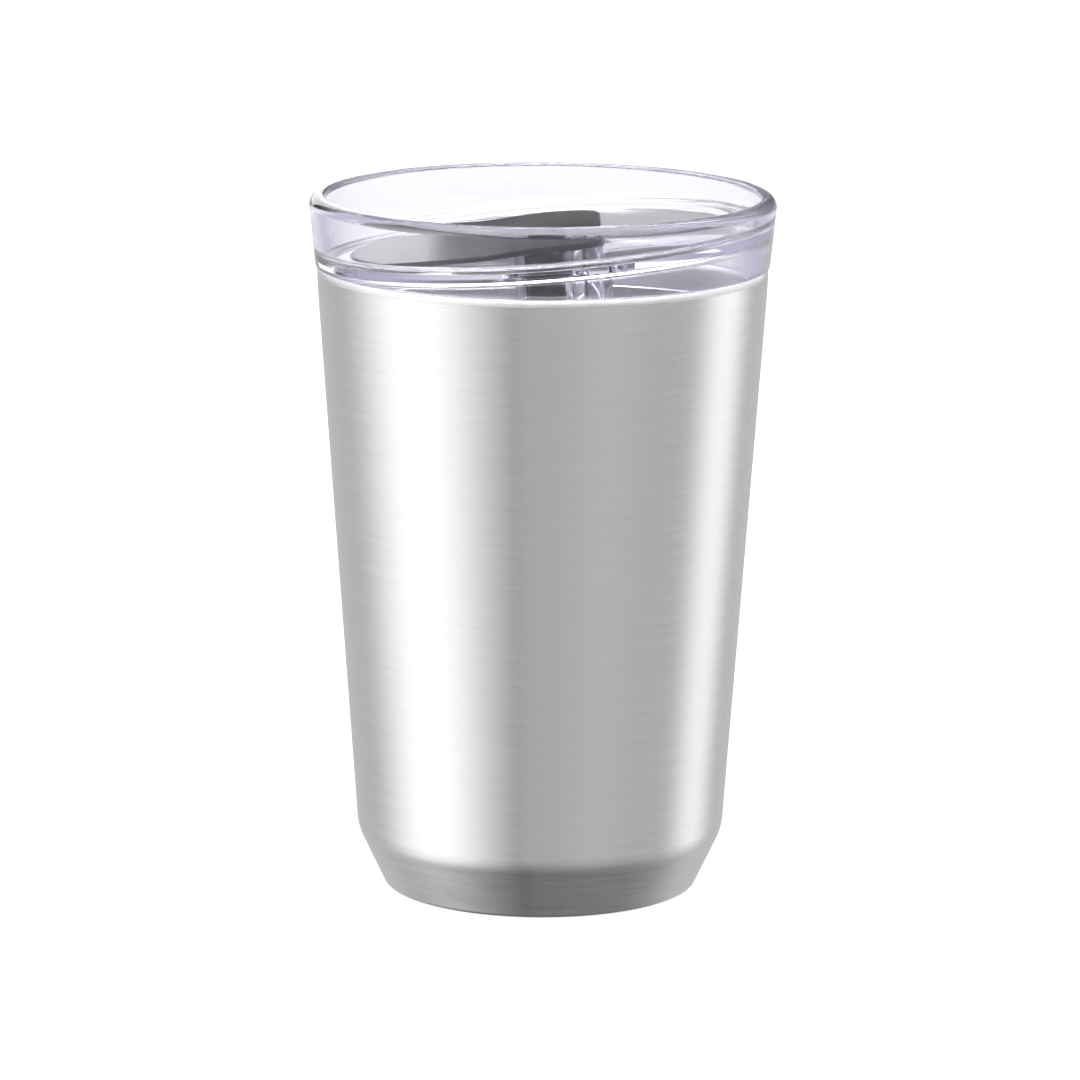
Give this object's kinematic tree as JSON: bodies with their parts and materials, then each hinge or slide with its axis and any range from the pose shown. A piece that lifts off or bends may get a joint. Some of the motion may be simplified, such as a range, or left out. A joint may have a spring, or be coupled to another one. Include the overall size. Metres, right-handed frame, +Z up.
{
  "type": "insulated travel tumbler",
  "caption": "Double-walled steel tumbler with a clear push-fit lid; a dark plug turns on a stem in the lid's sloping well to cover or bare the drink opening.",
  "frame": {"origin": "centre of the foot, on the surface that the tumbler stands on", "axes": "+Z up along the cup's axis; -X is the drinking side, where the plug covers the drink opening"},
  "size_m": [0.0856, 0.0856, 0.1291],
  "materials": {
    "brushed_steel": "brushed round the body, satin",
    "polished_steel": "electropolished, softly reflective",
    "braze": "dull brazing alloy",
    "getter_metal": "dull sintered metal",
    "clear_plastic": "clear, glossy, faintly lilac",
    "smoked_plastic": "dark grey, semi-gloss",
    "dark_silicone": "matte",
    "pale_silicone": "translucent, matte"
  },
  "bodies": {
    "cup": {"outer_shell": "brushed_steel", "inner_vessel": "polished_steel", "vacuum_cap": "polished_steel", "seal_bead": "braze", "getter": "getter_metal", "base_plate": "brushed_steel"},
    "lid": {"lid_shell": "clear_plastic", "lid_gasket": "pale_silicone"},
    "plug_bush": {"stem_sleeve": "dark_silicone"},
    "plug": {"drink_plug": "smoked_plastic", "seal_pad": "dark_silicone", "vent_pad": "dark_silicone"}
  },
  "joints": [
    {"name": "lid_lift", "type": "slide", "parent": "cup", "child": "lid", "axis": [0, 0, 1], "range_m": [0, 0.05]},
    {"name": "plug_pull", "type": "slide", "parent": "lid", "child": "plug_bush", "axis": [-0.0828, 0, 0.9966], "range_m": [0, 0.025]},
    {"name": "plug_turn", "type": "hinge", "parent": "plug_bush", "child": "plug", "pos_m": [0, 0, 0.1217], "axis": [-0.0828, 0, 0.9966], "continuous": true}
  ]
}
